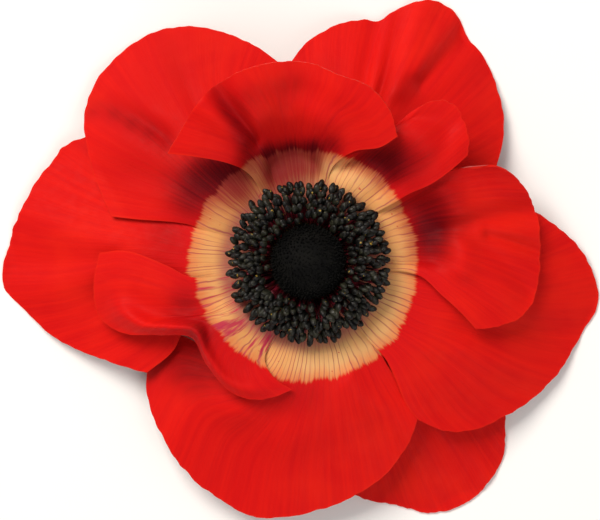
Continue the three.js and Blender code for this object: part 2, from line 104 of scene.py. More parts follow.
# Each tepal: foot is (azimuth of one end, azimuth of the other, height) of its insertion; left,
# rim and right are (azimuth, radius, height) stations round its free edge; belly lifts its
# middle; creases are ((u0, v0, u1, v1), width, rise) ridges and valleys, u across and v along.
TEPALS = {
    "tepal_outer_upper_left": {
        "foot": (160.2, 123, 10.5),
        "left": [(160.9, 12, 10.5), (161.4, 16, 10.5), (163, 20, 10.2), (166, 26, 9)],
        "rim": [(167, 29.8, 7.6), (160, 33.2, 6), (153, 36.8, 4.5), (146, 40.2, 3),
            (138, 41.8, 1.2), (128, 41.9, 0.4), (119, 40.4, 0.8), (111, 37, 1.8),
            (103.5, 33.2, 3.6), (98, 29.8, 5)],
        "right": [(122.6, 12, 10.5), (121, 16, 10.2), (115, 20, 9.6), (107, 25, 7.8)],
        "belly": 3,
        "creases": [
            ((0.34, 1, 0.45, 0.58), 0.045, -0.9),
            ((0.43, 1, 0.52, 0.6), 0.06, 0.5),
            ((0.64, 1, 0.68, 0.58), 0.05, -0.5),
            ((0.12, 0.9, 0.28, 0.5), 0.08, -0.5),
        ],
    },
    "tepal_outer_left": {
        "foot": (190.2, 163.8, 10.5),
        "left": [(190, 12, 10.5), (191, 15.5, 10), (202, 19, 9), (213, 23.5, 7.7)],
        "rim": [(214.5, 29, 6), (209, 31.8, 4.8), (203, 35.4, 3), (197, 39.5, 1.4),
            (190, 43, 0.3), (185, 45.7, 0), (178, 45.4, 0.1), (170, 43.8, 0.6), (162, 42.2, 1.2),
            (154, 40.2, 2), (148, 37, 2.8)],
        "right": [(163.2, 12, 10.4), (162.6, 16, 10), (158, 20, 8.6), (151.5, 29, 4.9)],
        "belly": 1.6,
        "creases": [
            ((0.55, 1, 0.55, 0.55), 0.05, -0.4),
            ((0.68, 1, 0.64, 0.6), 0.05, 0.4),
            ((0.3, 1, 0.36, 0.6), 0.08, -0.5),
        ],
    },
    "tepal_outer_bottom": {
        "foot": (308, 244.4, 10.4),
        "left": [(308.2, 12, 10.5), (308, 16.5, 10.2), (307.2, 20, 9.6), (306.5, 24, 8.6)],
        "rim": [(305, 28.2, 7.6), (299, 30.6, 7), (291, 33.2, 6.4), (281, 35.6, 5.8),
            (272, 37, 5.2), (262, 38.7, 4.6), (255, 38.6, 4.6), (247, 37.4, 4.8), (239, 36, 4.8),
            (230, 33.8, 4.4), (221, 31.6, 3.4), (213.6, 28.8, 2.8)],
        "right": [(244.2, 12, 10.4), (240, 15.5, 10), (224, 19, 8.2), (209, 22.5, 5.6)],
        "belly": 1.2,
        "creases": [
            ((0.02, 1, 0.2, 0.45), 0.06, 0.9),
            ((0.62, 1, 0.58, 0.5), 0.1, -0.6),
            ((0.8, 1, 0.7, 0.6), 0.07, 0.5),
        ],
    },
    "tepal_outer_lower_right": {
        "foot": (326, 280, 9),
        "left": [(326, 12, 8.9), (326, 20, 7.4), (325, 30, 3.8)],
        "rim": [(322, 37.6, 1.6), (316, 41, 0.5), (311, 42.6, 0), (304, 43.4, 0.1),
            (297, 42.4, 0), (290, 39, 0.4), (283, 36.4, 0.8), (276, 33.4, 1.4)],
        "right": [(279, 12, 8.9), (277, 18, 7.2), (276, 26, 4)],
        "belly": 0.6,
        "creases": [
            ((0.45, 1, 0.45, 0.6), 0.08, -0.5),
            ((0.3, 1, 0.36, 0.7), 0.06, 0.5),
        ],
    },
    "tepal_outer_right": {
        "foot": (355.6, 309.6, 10.5),
        "left": [(355.4, 12, 10.4), (356, 15.5, 9.8), (364, 20, 8.7), (369, 28, 6.6)],
        "rim": [(374, 34, 5), (368, 37.6, 3.4), (363, 40.8, 1.8), (357, 43, 0.7), (351, 44.1, 0),
            (345, 42.4, 0.4), (337, 41.2, 1.2), (329, 39.4, 2.4), (322, 37.4, 4),
            (314, 34.8, 5.4), (309, 32.2, 7.2), (305, 28.6, 8.7)],
        "right": [(309.6, 12, 10.6), (309.4, 17, 10.7), (307, 21, 10.3), (304.5, 25.5, 9.3)],
        "belly": 2.2,
        "creases": [
            ((0.42, 1, 0.5, 0.55), 0.07, -0.5),
            ((0.58, 1, 0.62, 0.6), 0.06, 0.4),
            ((0.76, 1, 0.74, 0.6), 0.07, -0.5),
        ],
    },
    "tepal_outer_upper_right": {
        "foot": (87, 37, 8.9),
        "left": [(88, 12, 8.9), (91, 19, 8.6), (94.5, 25, 7)],
        "rim": [(95.5, 29.4, 5.4), (91, 32.4, 4), (84, 35.4, 2.8), (78, 37, 1.9),
            (73.5, 37.8, 0.8), (71, 39.8, 1.6), (65, 43.3, 0.6), (60, 43.6, 0), (55, 41.8, 0.3),
            (48, 40.2, 0.4), (41, 38, 0.9), (34, 35.4, 2), (27, 31.6, 4.2)],
        "right": [(34, 12, 9.4), (31, 19, 8.8), (28, 26, 7)],
        "belly": 2.4,
        "creases": [
            ((0.37, 1.02, 0.42, 0.5), 0.035, -1.3),
            ((0.45, 1, 0.48, 0.6), 0.05, 0.9),
            ((0.6, 0.96, 0.56, 0.68), 0.035, -0.9),
            ((0.54, 1, 0.52, 0.7), 0.03, 0.7),
            ((0.8, 1, 0.7, 0.6), 0.06, 0.6),
        ],
    },
    "tepal_inner_top": {
        "foot": (121, 79.4, 10.8),
        "left": [(121, 11, 10.9), (122.4, 15.5, 12.6), (129, 18.5, 15.8), (137, 22.4, 17)],
        "rim": [(142.5, 25.8, 17), (137, 26.2, 17.8), (127, 27.6, 18.8), (118, 28.8, 19.6),
            (109, 29.2, 19.6), (99, 29.2, 19.2), (90, 28.8, 19.2), (81, 27.4, 19.6),
            (71, 26.8, 19.6), (62, 25, 19), (54.5, 22.4, 17.8)],
        "right": [(79, 11, 10.9), (77, 14.5, 12.2), (68, 17.4, 15.4), (58, 19.6, 17)],
        "belly": 0,
        "creases": [
            ((0.22, 0.33, 0.78, 0.33), 0.09, -2.2),
            ((0.25, 0.55, 0.75, 0.55), 0.14, 1.5),
            ((0.28, 1, 0.21, 0.52), 0.045, -1.7),
            ((0.2, 0.97, 0.14, 0.6), 0.05, 0.9),
            ((0.57, 1, 0.5, 0.62), 0.08, -0.6),
        ],
    },
    "tepal_inner_upper_right": {
        "foot": (77.2, 41.2, 10.8),
        "left": [(77, 11, 11), (75, 15, 11.5), (66, 18.6, 12), (62, 21, 12.6)],
        "rim": [(60, 22.8, 13.4), (56.6, 24.8, 14.4), (54.6, 27.4, 15.2), (52, 29.8, 15.6),
            (47.5, 31.2, 15.4), (42, 30.6, 15), (37.5, 29.4, 14.8), (34, 28, 14.4)],
        "right": [(40.2, 8, 10.9), (38.6, 12, 11.4), (36, 16, 12.6), (32.5, 21, 15),
            (33, 25, 15)],
        "belly": 1,
        "creases": [
            ((0.2, 0.52, 0.8, 0.48), 0.1, -1.8),
            ((0.2, 0.74, 0.7, 0.74), 0.08, 0.7),
            ((0.3, 0.84, 0.7, 0.9), 0.07, -0.5),
        ],
    },
    "tepal_inner_right": {
        "foot": (38.4, -2.6, 10.8),
        "left": [(38.2, 8, 10.8), (37.2, 12, 11), (37, 16, 11.8), (36, 20.5, 13.4),
            (33, 24.6, 13.6)],
        "rim": [(29, 28.4, 13.4), (27, 30.8, 12.8), (21.5, 33.2, 10.6), (11.5, 34.6, 7.6),
            (2, 34.4, 7.2), (353, 34.1, 7.6), (348, 33.4, 8), (344, 31.6, 8.6), (340.5, 29, 9.8),
            (338, 26.6, 10.6)],
        "right": [(-2.8, 11, 10.8), (355, 16, 11), (347, 19.6, 11.4), (342, 23.2, 11.3)],
        "belly": 2,
        "creases": [
            ((0.15, 0.42, 0.75, 0.42), 0.1, -1.5),
            ((0.2, 0.6, 0.75, 0.6), 0.08, 0.9),
            ((0.35, 1, 0.48, 0.52), 0.06, -1.1),
            ((0.44, 1, 0.47, 0.72), 0.05, 0.5),
            ((0.53, 1, 0.5, 0.74), 0.03, -0.8),
            ((0.7, 0.96, 0.52, 0.62), 0.06, -0.6),
        ],
    },
    "tepal_inner_lower_left": {
        "foot": (243, 191.6, 10.8),
        "left": [(242.8, 11, 10.9), (244, 15.5, 11.6), (253, 17.6, 12.2)],
        "rim": [(263, 18.8, 12), (256, 20.3, 12.3), (248, 21.6, 12.5), (239, 22, 12.6),
            (225, 20.9, 12.8), (213, 20.2, 12.6), (206, 24.2, 11.4), (201, 29.2, 8.4),
            (195, 31.8, 6.8), (186, 31.9, 7.4), (177.5, 30.8, 8)],
        "right": [(191.4, 11, 10.8), (189, 16.5, 11.4), (181, 21, 11.6), (176.5, 26.6, 10.4)],
        "belly": 1,
        "creases": [
            ((0.42, 0.86, 0.74, 0.84), 0.08, 1.6),
            ((0.12, 0.86, 0.42, 0.84), 0.1, 0.8),
            ((0.46, 0.66, 0.66, 0.62), 0.1, -0.9),
        ],
    },
}

# how many veins show across each tepal
VEINS = {
    "tepal_outer_upper_left": 12, "tepal_outer_left": 15, "tepal_outer_bottom": 27,
    "tepal_outer_lower_right": 12, "tepal_outer_right": 15, "tepal_outer_upper_right": 14,
    "tepal_inner_top": 12, "tepal_inner_upper_right": 12, "tepal_inner_right": 12,
    "tepal_inner_lower_left": 15,
}
# how much further than the others a tepal's cream foot reaches, mm
CREAM_REACH = {
    "tepal_inner_lower_left": -0.9, "tepal_outer_bottom": 0.2,
    "tepal_inner_upper_right": 0.3,
}
# painted shade and painted cast shadows, darker where shade falls near the crown, under overhanging
# tepals and along creases: azimuth, radius, width and amount
SHADE_SPOTS = {
    "tepal_outer_upper_left": ((144, 19.5, 4.4, 0.60), (130, 18.0, 4.2, 0.70),
                               (134, 14.5, 3.5, 0.70), (153, 19.5, 3.5, 0.30),
                               (146, 28.0, 9.0, 0.22), (128, 37.0, 9.0, 0.16),
                               (112, 35.0, 7.0, 0.12), (145, 39.0, 1.5, 0.22),
                               (143, 36.0, 1.6, 0.26), (142, 33.0, 1.6, 0.28),
                               (141, 30.0, 1.6, 0.28), (140, 27.0, 1.7, 0.25)),
    "tepal_inner_top": ((121, 16.6, 1.9, 0.50), (110, 16.6, 1.7, 0.75), (99, 16.4, 1.6, 0.80),
                        (88, 16.6, 1.6, 0.70), (78, 17.2, 2.0, 0.50), (112, 13.6, 3.4, 0.80),
                        (98, 13.8, 3.0, 0.75), (86, 14.0, 2.6, 0.55),
                        (119, 28.0, 1.2, 0.22), (119, 26.2, 1.2, 0.28), (119, 24.4, 1.2, 0.32),
                        (118, 22.6, 1.3, 0.36), (118, 20.8, 1.5, 0.36), (118, 19.0, 1.7, 0.36),
                        (112, 24.0, 4.0, 0.34), (98, 24.0, 4.0, 0.20),
                        (92, 26.0, 2.4, 0.16)),
    "tepal_inner_upper_right": ((50, 19.0, 3.6, 0.60), (60, 18.0, 3.0, 0.45),
                                (42, 21.0, 4.0, 0.30), (49, 26.0, 6.0, 0.15)),
    "tepal_inner_right": ((14, 18.4, 3.4, 0.65), (24, 20.5, 5.0, 0.50), (2, 19.0, 3.0, 0.20)),
    "tepal_inner_lower_left": ((199, 19.0, 3.4, 0.42), (215, 18.4, 2.6, 0.45),
                               (236, 19.4, 3.4, 0.22)),
    "tepal_outer_left": ((176, 21.0, 5.0, 0.20), (200, 23.0, 3.5, 0.25), (166, 21.5, 3.5, 0.25)),
    "tepal_outer_bottom": ((268, 19.5, 4.2, 0.28), (226, 22.5, 4.5, 0.45),
                           (215, 25.0, 4.0, 0.35)),
    "tepal_outer_upper_right": ((48, 25.0, 4.0, 0.35), (62, 28.0, 4.0, 0.25),
                                (84, 28.0, 4.0, 0.20)),
}

# ---------- small helpers ----------
def fresh():
    """Nothing selected, nothing active."""
    bpy.ops.object.select_all(action="DESELECT")
    bpy.context.view_layer.objects.active = None


def pick(piece):
    fresh()
    piece.select_set(True)
    bpy.context.view_layer.objects.active = piece


def apply_modifier(piece, kind, **settings):
    pick(piece)
    modifier = piece.modifiers.new(kind.lower(), kind)
    for key, value in settings.items():
        setattr(modifier, key, value)
    bpy.ops.object.modifier_apply(modifier=modifier.name)


def settle(piece):
    """Moves the piece's place into its mesh, so that its object sits at the origin."""
    pick(piece)
    bpy.ops.object.transform_apply(location=True, rotation=True, scale=True)


def finish_piece(piece, slot, *nodes):
    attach(piece, "root")
    if nodes:
        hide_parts(*nodes)


def smoothstep(x, low, high):
    t = np.clip((x - low) / (high - low), 0.0, 1.0)
    return t * t * (3 - 2 * t)


def place(azimuth, radius, height):
    """A station about the flower's axis as a point in millimetres."""
    turn = math.radians(azimuth)
    return np.array([AXIS_X + radius * math.cos(turn), AXIS_Y + radius * math.sin(turn), height])


def smooth_line(stations, count=420):
    """Dense points of a smooth line through stations, spread evenly along its length."""
    p = [place(*s) for s in stations]
    p = [2 * p[0] - p[1]] + p + [2 * p[-1] - p[-2]]
    out = []
    for k in range(1, len(p) - 2):
        a, b, c, d = p[k - 1], p[k], p[k + 1], p[k + 2]
        d0 = np.dot(a - b, a - b) ** 0.25
        d1 = np.dot(b - c, b - c) ** 0.25
        d2 = np.dot(c - d, c - d) ** 0.25
        t1 = ((b - a) / d0 - (c - a) / (d0 + d1) + (c - b) / d1) * d1
        t2 = ((c - b) / d1 - (d - b) / (d1 + d2) + (d - c) / d2) * d1
        for t in np.linspace(0, 1, 40, endpoint=False):
            q = b + t1 * t + (-3 * b + 3 * c - 2 * t1 - t2) * t * t
            out.append(q + (2 * b - 2 * c + t1 + t2) * t ** 3)
    out.append(p[-2])
    out = np.array(out)
    steps = np.linalg.norm(np.diff(out, axis=0), axis=1)
    length = np.concatenate([[0], np.cumsum(steps)])
    length /= length[-1]
    even = np.linspace(0, 1, count)
    return np.stack([np.interp(even, length, out[:, k]) for k in range(3)], axis=1)


def along(line, t):
    even = np.linspace(0, 1, len(line))
    return np.stack([np.interp(t, even, line[:, k]) for k in range(3)], axis=-1)


# ---------- tepals ----------
def line_distance(u, v, line):
    """How far (u, v) is from a crease's line, in the tepal's own u and v."""
    u0, v0, u1, v1 = line
    du, dv = u1 - u0, v1 - v0
    t = np.clip(((u - u0) * du + (v - v0) * dv) / (du * du + dv * dv), 0, 1)
    return np.hypot(u - u0 - t * du, v - v0 - t * dv)


def tepal_surface(tepal, u, v):
    """Points of the tepal's middle surface at u (across) and v (along), in millimetres."""
    az_left, az_right, height = tepal["foot"]
    foot_left = (az_left, INSERTION_RADIUS, height)
    foot_right = (az_right, INSERTION_RADIUS, height)
    rim = smooth_line(tepal["rim"])
    left = smooth_line([foot_left, *tepal["left"], tepal["rim"][0]])
    right = smooth_line([foot_right, *tepal["right"], tepal["rim"][-1]])
    turn = np.radians(az_left + (az_right - az_left) * u)
    foot = np.stack([AXIS_X + INSERTION_RADIUS * np.cos(turn),
                     AXIS_Y + INSERTION_RADIUS * np.sin(turn),
                     np.full_like(u, height)], axis=-1)
    a, b = u[..., None], v[..., None]
    p = foot * (1 - b) + along(rim, u) * b + along(left, v) * (1 - a) + along(right, v) * a
    p -= place(*foot_left) * (1 - a) * (1 - b) + place(*foot_right) * a * (1 - b)
    p -= place(*tepal["rim"][0]) * (1 - a) * b + place(*tepal["rim"][-1]) * a * b
    swell = np.clip(np.sin(np.pi * u), 0, 1) ** 0.8 * np.clip(np.sin(np.pi * v), 0, 1) ** 1.2
    p[..., 2] += tepal["belly"] * swell
    calm = np.clip(v / 0.35, 0, 1) ** 2
    for line, width, rise in tepal["creases"]:
        p[..., 2] += calm * rise * np.exp(-(line_distance(u, v, line) / width) ** 2)
    return p


def ripple(u, v, seed, across, lengthways):
    """Even noise from -1 to 1, finer across the tepal than along it."""
    flat_u, flat_v = u.ravel(), v.ravel()
    values = [noise.noise(Vector((a * across, b * lengthways, seed * 7.3)))
              for a, b in zip(flat_u, flat_v)]
    return np.array(values).reshape(u.shape)


def make_tepal(name, tepal, seed, face, back, waviness, shade_spots):
    fresh()
    bpy.ops.mesh.primitive_grid_add(x_subdivisions=ACROSS, y_subdivisions=ALONG, size=1.0,
                                    calc_uvs=True)
    piece = bpy.context.object
    piece.name = name + "_petal"
    mesh = piece.data
    flat = np.zeros(len(mesh.vertices) * 3)
    mesh.vertices.foreach_get("co", flat)
    flat = flat.reshape(-1, 3)
    u = np.clip(flat[:, 0] + 0.5, 0, 1)
    v = np.clip(flat[:, 1] + 0.5, 0, 1)
    # the edge is a little ragged: the sheet is read slightly short of its margin
    ragged = ripple(u, v * 0, seed, 14, 0) * 0.5 + ripple(u, v * 0, seed + 3, 44, 0) * 0.5
    near_rim = smoothstep(v, 0.8, 1.0)
    p = tepal_surface(tepal, u, np.clip(v - 0.012 * near_rim * (0.5 + ragged), 0, 1))
    # soft waves towards the rim, then fine ribs that run from foot to rim
    growth = smoothstep(v, 0.25, 0.9)
    wave = ripple(u, v, seed + 11, 5.0, 2.2) * 0.42 + ripple(u, v, seed + 17, 11.0, 3.2) * 0.2
    wave *= waviness
    ribs = ripple(u, v, seed + 23, 26.0, 2.5) * 0.032 + ripple(u, v, seed + 29, 60.0, 3.0) * 0.012
    p[:, 2] += growth * wave + smoothstep(v, 0.1, 0.5) * ribs
    # the feet lap over one another like shingles, so that no light shows between them
    x, y = p[:, 0] - AXIS_X, p[:, 1] - AXIS_Y
    radius = np.hypot(x, y)
    at_left = 1 - smoothstep(u, 0.0, 0.14)
    at_right = 1 - smoothstep(1 - u, 0.0, 0.14)
    near = (1 - smoothstep(radius, 15.0, 19.0)) * smoothstep(radius, 6.0, 9.0)
    lap = FOOT_LAP * near * (at_left - at_right)
    p[:, 0] -= lap * y / radius
    p[:, 1] += lap * x / radius
    p[:, 2] += near * (0.10 * at_right - 0.14 * at_left)
    p[:, 2] = np.maximum(p[:, 2], RESTING_HEIGHT)
    mesh.vertices.foreach_set("co", (p * MM).ravel())
    mesh.update()
    # painted shade: darker red and cream where shade and cast shadows fall, strongest at the
    # stations listed for this tepal
    painted_shade = np.zeros(len(u))
    for azimuth, reach, width, amount in shade_spots:
        spot = place(azimuth, reach, 0)
        away = np.hypot(p[:, 0] - spot[0], p[:, 1] - spot[1]) / width
        painted_shade = 1 - (1 - painted_shade) * (1 - amount * np.exp(-away ** 2))
    # painted shade: a fold's valley is painted a little darker too
    for line, width, rise in tepal["creases"]:
        fold = VALLEY_SHADE * np.clip(-rise, 0, 2) * np.exp(-(line_distance(u, v, line) / width) ** 2)
        painted_shade = 1 - (1 - painted_shade) * (1 - fold * np.clip(v / 0.35, 0, 1) ** 2)
    mesh.attributes.new("painted_shade", "FLOAT", "POINT").data.foreach_set("value", painted_shade)
    mesh.materials.append(face)
    mesh.materials.append(back)
    if np.mean([f.normal.z for f in mesh.polygons]) < 0:
        mesh.flip_normals()
    apply_modifier(piece, "SOLIDIFY", thickness=TEPAL_THICKNESS * MM, offset=0.0,
                   use_even_offset=False, material_offset=1, material_offset_rim=0)
    pick(piece)
    bpy.ops.object.shade_smooth_by_angle(angle=math.radians(62))
    finish_piece(piece, "tepal_red", name)
    return piece


# ---------- materials ----------
class Net:
    """A short way to wire a material's nodes."""

    def __init__(self, name):
        self.material = bpy.data.materials.new(name)
        self.material.use_nodes = True
        self.tree = self.material.node_tree
        self.shader = self.tree.nodes["Principled BSDF"]

    def node(self, kind, **settings):
        made = self.tree.nodes.new(kind)
        for key, value in settings.items():
            setattr(made, key, value)
        return made

    def link(self, source, target):
        self.tree.links.new(source, target)

    def math(self, operation, a, b=None):
        made = self.node("ShaderNodeMath", operation=operation)
        for socket, value in zip(made.inputs, (a, b)):
            if value is None:
                continue
            if isinstance(value, (int, float)):
                socket.default_value = value
            else:
                self.link(value, socket)
        return made.outputs[0]

    def step(self, value, low, high, to_low=0.0, to_high=1.0):
        made = self.node("ShaderNodeMapRange", interpolation_type="SMOOTHSTEP")
        self.link(value, made.inputs["Value"])
        made.inputs["From Min"].default_value = low
        made.inputs["From Max"].default_value = high
        made.inputs["To Min"].default_value = to_low
        made.inputs["To Max"].default_value = to_high
        return made.outputs["Result"]

    def mix(self, factor, a, b):
        made = self.node("ShaderNodeMix", data_type="RGBA")
        for socket, value in ((made.inputs[0], factor), (made.inputs[6], a), (made.inputs[7], b)):
            if isinstance(value, (int, float)):
                socket.default_value = value
            elif isinstance(value, tuple):
                socket.default_value = (*value, 1.0)
            else:
                self.link(value, socket)
        return made.outputs[2]

    def noise(self, vector, scale, detail=2.0, roughness=0.5, distortion=0.0):
        made = self.node("ShaderNodeTexNoise", noise_dimensions="3D")
        self.link(vector, made.inputs["Vector"])
        made.inputs["Scale"].default_value = scale
        made.inputs["Detail"].default_value = detail
        made.inputs["Roughness"].default_value = roughness
        made.inputs["Distortion"].default_value = distortion
        return made.outputs["Fac"]

    def stretch(self, vector, scale, move=(0, 0, 0)):
        made = self.node("ShaderNodeMapping")
        self.link(vector, made.inputs["Vector"])
        made.inputs["Scale"].default_value = scale
        made.inputs["Location"].default_value = move
        return made.outputs["Vector"]

    def bump(self, height, distance, strength=1.0):
        made = self.node("ShaderNodeBump")
        self.link(height, made.inputs["Height"])
        made.inputs["Distance"].default_value = distance
        made.inputs["Strength"].default_value = strength
        self.link(made.outputs["Normal"], self.shader.inputs["Normal"])


def tepal_face(name, seed, veins, cream, blush=0.0):
    """Red velvet tepal: cream foot with fine mauve veins, a feathered edge, streaks to the rim."""
    net = Net(name)
    here = net.node("ShaderNodeTexCoord").outputs["Object"]
    sheet = net.node("ShaderNodeUVMap", uv_map="UVMap").outputs["UV"]
    split = net.node("ShaderNodeSeparateXYZ")
    net.link(sheet, split.inputs[0])
    u, v = split.outputs[0], split.outputs[1]
    centred = net.stretch(here, (1000, 1000, 0),
                          (-AXIS_X - CREAM_OFF_X, -AXIS_Y - CREAM_OFF_Y, 0))
    size = net.node("ShaderNodeVectorMath", operation="LENGTH")
    net.link(centred, size.inputs[0])
    radius = size.outputs["Value"]

    streak = net.noise(net.stretch(sheet, (46, 1.6, 1), (seed, 0, 0)), 1.0, 3.0, 0.6)
    fine = net.noise(net.stretch(sheet, (150, 5, 1), (seed, 3, 0)), 1.0, 2.0, 0.5)
    cloud = net.noise(here, 75.0, 3.0, 0.55, 0.3)
    grain = net.noise(here, 900.0, 2.0, 0.5)

    # reds
    deep = (0.61, 0.0046, 0.0050)
    full = (0.72, 0.0080, 0.0050)
    warm = (0.82, 0.0180, 0.0060)
    red = net.mix(net.step(streak, 0.25, 0.75), deep, full)
    red = net.mix(net.math("MULTIPLY", net.step(cloud, 0.45, 0.80), 0.5), red, warm)
    red = net.mix(net.math("MULTIPLY", net.step(fine, 0.5, 0.9), 0.14), red, deep)
    crimson = net.step(radius, 17.0, 24.0, 0.35, 0.0)
    red = net.mix(crimson, red, (0.56, 0.0045, 0.0090))
    # painted light: a thin lighter orange line along the free edges, standing for light shining
    # through the thin margin
    edge = net.math("MINIMUM", net.math("MINIMUM", u, net.math("SUBTRACT", 1.0, u)),
                    net.math("SUBTRACT", 1.0, v))
    red = net.mix(net.step(edge, 0.0, 0.010, 0.07, 0.0), red, (0.80, 0.080, 0.010))

    # cream foot, its outer edge feathered along the veins
    lobe = net.noise(net.stretch(sheet, (6, 0.5, 1), (seed, 15, 0)), 1.0, 2.0, 0.5)
    feather = net.math("MULTIPLY", net.math("SUBTRACT", streak, 0.5), 1.5)
    feather = net.math("ADD", feather, net.math("MULTIPLY", net.math("SUBTRACT", fine, 0.5), 0.7))
    feather = net.math("ADD", feather, net.math("MULTIPLY", net.math("SUBTRACT", lobe, 0.5), 2.2))
    reach = net.math("ADD", radius, feather)
    is_cream = net.step(reach, cream - 0.35, cream + 0.35, 1.0, 0.0)
    pale = net.mix(net.step(cloud, 0.35, 0.7), (0.74, 0.34, 0.115), (0.80, 0.45, 0.185))
    pale = net.mix(net.step(reach, cream - 2.4, cream + 0.2, 0.0, 0.85), pale,
                   (0.74, 0.20, 0.065))
    # painted shadow: the cream darkens under the crown of stamens, where their shadow falls
    pale = net.mix(net.step(radius, 11.2, 13.4, 0.85, 0.0), pale, (0.42, 0.13, 0.10))

    # veins: thin lines at an even spacing across, broken by noise
    wander = net.math("MULTIPLY", net.math("SUBTRACT", net.noise(
        net.stretch(sheet, (5, 9, 1), (seed, 9, 0)), 1.0, 2.0), 0.5), 0.9)
    lane = net.math("ADD", net.math("MULTIPLY", u, veins), wander)
    beat = net.math("ABSOLUTE", net.math("SUBTRACT", net.math("FRACT", lane), 0.5))
    thin = net.step(beat, 0.0, 0.17, 1.0, 0.0)
    strength = net.step(net.noise(net.stretch(sheet, (veins, 3, 1), (seed, 5, 0)), 1.0, 1.0),
                        0.34, 0.62, 0.15, 0.85)
    vein = net.math("MULTIPLY", thin, strength)
    pale = net.mix(vein, pale, (0.34, 0.060, 0.075))
    if blush > 0:
        flecks = net.noise(net.stretch(sheet, (22, 3.0, 1), (seed, 7, 0)), 1.0, 3.0, 0.6)
        pale = net.mix(net.step(flecks, 0.50, 0.64, 0.0, blush), pale, (0.50, 0.020, 0.075))
    specks = net.step(net.noise(here, 1300.0, 1.0, 0.5), 0.755, 0.775, 0.0, 0.7)
    pale = net.mix(specks, pale, (0.55, 0.030, 0.040))
    vein_red = net.math("MULTIPLY", vein, net.step(radius, 17.0, 30.0, 0.20, 0.04))
    red = net.mix(vein_red, red, (0.36, 0.003, 0.010))
    # painted shade: the colour is pulled towards the shaded red and cream where the tepal's
    # painted-shade attribute is high, a little streaky
    painted_shade = net.node("ShaderNodeAttribute", attribute_name="painted_shade").outputs["Fac"]
    uneven = net.math("MULTIPLY", net.math("SUBTRACT", streak, 0.5), 0.5)
    uneven = net.math("MULTIPLY", uneven, net.math("MINIMUM", 1.0, net.math("MULTIPLY", painted_shade, 3.0)))
    painted_shade = net.step(net.math("ADD", painted_shade, uneven), 0.02, 0.92)
    both = net.mix(painted_shade, net.mix(is_cream, red, pale), net.mix(is_cream, SHADE_RED, SHADE_CREAM))
    net.link(both, net.shader.inputs["Base Color"])

    height = net.math("ADD", net.math("MULTIPLY", streak, 0.8), net.math("MULTIPLY", fine, 0.45))
    height = net.math("ADD", height, net.math("MULTIPLY", grain, 0.12))
    height = net.math("SUBTRACT", height, net.math("MULTIPLY", vein, 0.10))
    net.bump(height, 0.00020, 0.30)
    net.link(net.step(grain, 0.3, 0.7, 0.52, 0.66), net.shader.inputs["Roughness"])
    net.shader.inputs["Specular IOR Level"].default_value = 0.07
    net.shader.inputs["Subsurface Weight"].default_value = 0.12
    net.shader.inputs["Subsurface Radius"].default_value = (1.0, 0.15, 0.10)
    net.shader.inputs["Subsurface Scale"].default_value = 0.0012
    return net.material


def tepal_back(name, seed):
    """Outside of a tepal: paler, silkier red with raised ribs that fan from a greenish foot."""
    net = Net(name)
    here = net.node("ShaderNodeTexCoord").outputs["Object"]
    sheet = net.node("ShaderNodeUVMap", uv_map="UVMap").outputs["UV"]
    split = net.node("ShaderNodeSeparateXYZ")
    net.link(sheet, split.inputs[0])
    ribs = net.noise(net.stretch(sheet, (60, 2.0, 1), (seed, 0, 0)), 1.0, 3.0, 0.6)
    cloud = net.noise(here, 90.0, 3.0)
    red = net.mix(net.step(ribs, 0.35, 0.68), (0.46, 0.030, 0.030), (0.66, 0.060, 0.045))
    red = net.mix(net.math("MULTIPLY", net.step(cloud, 0.4, 0.7), 0.4), red, (0.72, 0.12, 0.09))
    pale = net.mix(net.step(ribs, 0.4, 0.62), (0.56, 0.40, 0.24), (0.66, 0.52, 0.30))
    foot = net.step(net.math("ADD", split.outputs[1], net.math("MULTIPLY", ribs, 0.22)),
                    0.30, 0.52, 1.0, 0.0)
    net.link(net.mix(foot, red, pale), net.shader.inputs["Base Color"])
    net.bump(ribs, 0.0003, 0.6)
    net.shader.inputs["Roughness"].default_value = 0.55
    net.shader.inputs["Sheen Weight"].default_value = 0.3
    net.shader.inputs["Sheen Roughness"].default_value = 0.4
    net.shader.inputs["Sheen Tint"].default_value = (1.0, 0.75, 0.68, 1.0)
    net.shader.inputs["Subsurface Weight"].default_value = 0.12
    net.shader.inputs["Subsurface Radius"].default_value = (1.0, 0.15, 0.10)
    net.shader.inputs["Subsurface Scale"].default_value = 0.0012
    return net.material


def anther_skin():
    net = Net("anther_blue_black")
    here = net.node("ShaderNodeTexCoord").outputs["Object"]
    patch = net.noise(here, 700.0, 3.0, 0.6)
    speck = net.noise(here, 3200.0, 2.0, 0.6)
    dark = net.mix(net.step(patch, 0.42, 0.74), (0.0022, 0.0020, 0.0022), (0.024, 0.024, 0.013))
    # olive-grey specks: partly the anthers' own dusty colour, partly painted highlight standing for
    # their soft grey-green shine
    dark = net.mix(net.step(speck, 0.60, 0.76, 0.0, 0.6), dark, (0.13, 0.125, 0.065))
    pollen = net.noise(here, 1500.0, 1.0, 0.5)
    dark = net.mix(net.step(pollen, 0.735, 0.76, 0.0, 0.85), dark, (0.42, 0.27, 0.045))
    net.link(dark, net.shader.inputs["Base Color"])
    net.bump(speck, 0.00008, 0.7)
    net.link(net.step(speck, 0.3, 0.7, 0.34, 0.6), net.shader.inputs["Roughness"])
    net.shader.inputs["Specular IOR Level"].default_value = 0.28
    return net.material


def filament_skin():
    net = Net("filament_dark_red")
    here = net.node("ShaderNodeTexCoord").outputs["Object"]
    fade = net.noise(here, 500.0, 2.0)
    net.link(net.mix(net.step(fade, 0.35, 0.65), (0.018, 0.002, 0.004), (0.20, 0.007, 0.022)),
             net.shader.inputs["Base Color"])
    net.bump(fade, 0.00005, 0.5)
    net.shader.inputs["Roughness"].default_value = 0.42
    return net.material


